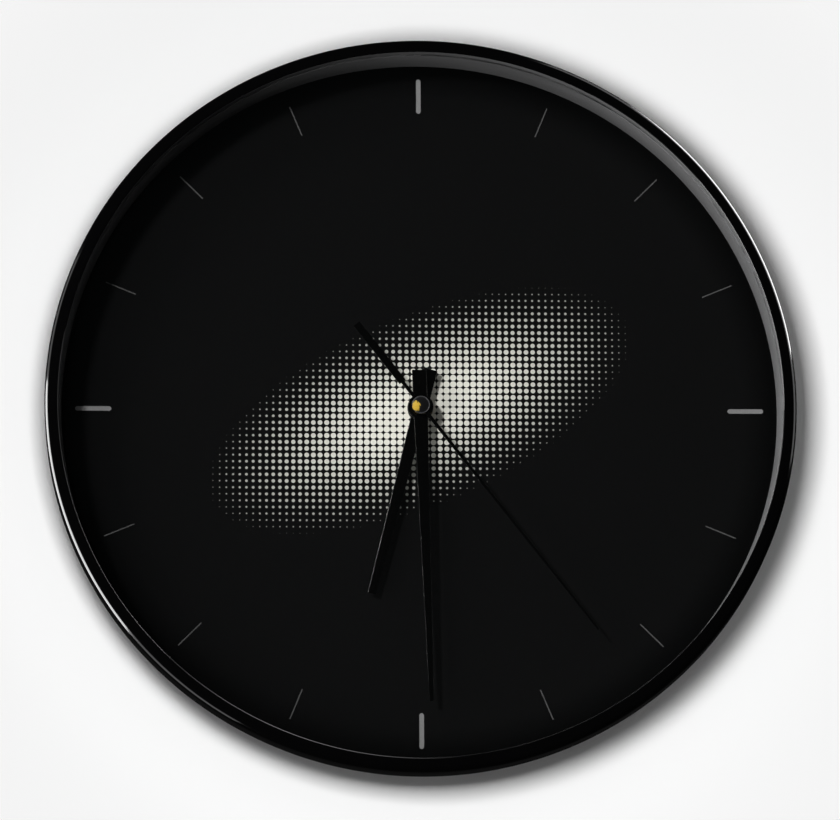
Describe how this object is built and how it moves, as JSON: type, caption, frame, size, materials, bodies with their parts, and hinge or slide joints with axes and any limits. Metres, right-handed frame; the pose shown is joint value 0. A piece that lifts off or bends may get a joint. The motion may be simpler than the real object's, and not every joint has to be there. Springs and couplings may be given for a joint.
{
  "type": "wall clock",
  "caption": "Round black quartz wall clock with a gloss rim, deep inner wall, three hands, geared movement, setting knob and a keyhole hanger on the back.",
  "frame": {"origin": "centre of the rear rim's wall plane, on the axis of the hands", "axes": "+Z towards twelve o'clock, -Y out of the dial towards the viewer, +X towards three o'clock"},
  "size_m": [0.254, 0.038, 0.254],
  "materials": {
    "bezel_gloss": "gloss",
    "case_black": "fine moulded texture",
    "lens_clear": "clear",
    "spacer_satin": "satin",
    "dial_black": "printed matt",
    "mark_grey": "printed ink",
    "hand_black": "semi-gloss black paint",
    "brass": "polished",
    "movement_black": "moulded",
    "gear_white": "moulded nylon",
    "steel": "bright",
    "magnet_grey": "sintered",
    "coil_copper": "enamelled wire",
    "board_green": "solder mask",
    "chip_black": "cured resin",
    "battery_jacket": "plain jacket",
    "contact_nickel": "nickel plated",
    "knob_grey": "moulded"
  },
  "bodies": {
    "case_body": {"bezel": "bezel_gloss", "rear_case": "case_black", "lens": "lens_clear", "spacer_ring": "spacer_satin", "dial": "dial_black", "quarter_marks": "mark_grey", "fine_marks": "mark_grey", "movement_front_shell": "movement_black", "movement_rear_cover": "movement_black", "stator": "steel", "coil_core": "steel", "coil": "coil_copper", "circuit_board": "board_green", "control_chip": "chip_black", "quartz_crystal": "steel", "battery": "battery_jacket", "battery_contact_positive": "contact_nickel", "battery_contact_negative": "contact_nickel"},
    "second_hand_body": {"second_hand": "hand_black", "second_hand_tube": "brass", "second_hand_cap": "brass", "second_wheel": "gear_white"},
    "minute_hand_body": {"minute_hand": "hand_black", "hand_nut": "brass", "centre_wheel": "gear_white"},
    "hour_hand_body": {"hour_hand": "hand_black", "hour_hand_bush": "brass", "hour_wheel": "gear_white"},
    "setting_knob_body": {"setting_knob": "knob_grey", "minute_wheel": "gear_white"},
    "third_wheel_body": {"third_wheel": "gear_white"},
    "intermediate_wheel_body": {"intermediate_wheel": "gear_white"},
    "rotor_body": {"rotor_pinion": "gear_white", "rotor_magnet": "magnet_grey"}
  },
  "joints": [
    {"name": "second_hand_turn", "type": "hinge", "parent": "case_body", "child": "second_hand_body", "pos_m": [0, -0.0202, 0], "axis": [0, 1, 0], "continuous": true},
    {"name": "minute_hand_turn", "type": "hinge", "parent": "case_body", "child": "minute_hand_body", "pos_m": [0, -0.0202, 0], "axis": [0, 1, 0], "continuous": true},
    {"name": "hour_hand_turn", "type": "hinge", "parent": "case_body", "child": "hour_hand_body", "pos_m": [0, -0.0202, 0], "axis": [0, 1, 0], "continuous": true},
    {"name": "setting_knob_turn", "type": "hinge", "parent": "case_body", "child": "setting_knob_body", "pos_m": [0.0096, -0.0042, 0], "axis": [0, 1, 0], "continuous": true},
    {"name": "third_wheel_turn", "type": "hinge", "parent": "case_body", "child": "third_wheel_body", "pos_m": [-0.00869, -0.012, 0.00233], "axis": [0, 1, 0], "continuous": true},
    {"name": "intermediate_wheel_turn", "type": "hinge", "parent": "case_body", "child": "intermediate_wheel_body", "pos_m": [0.0036, -0.008, 0.00624], "axis": [0, 1, 0], "continuous": true},
    {"name": "rotor_turn", "type": "hinge", "parent": "case_body", "child": "rotor_body", "pos_m": [0.0036, -0.012, 0.01324], "axis": [0, 1, 0], "continuous": true}
  ],
  "couplings": [
    {"joint": "minute_hand_turn", "follows": "second_hand_turn", "ratio": 0.016667},
    {"joint": "hour_hand_turn", "follows": "second_hand_turn", "ratio": 0.0013889},
    {"joint": "setting_knob_turn", "follows": "second_hand_turn", "ratio": -0.0055556},
    {"joint": "third_wheel_turn", "follows": "second_hand_turn", "ratio": -0.13333},
    {"joint": "intermediate_wheel_turn", "follows": "second_hand_turn", "ratio": -5},
    {"joint": "rotor_turn", "follows": "second_hand_turn", "ratio": 30}
  ]
}
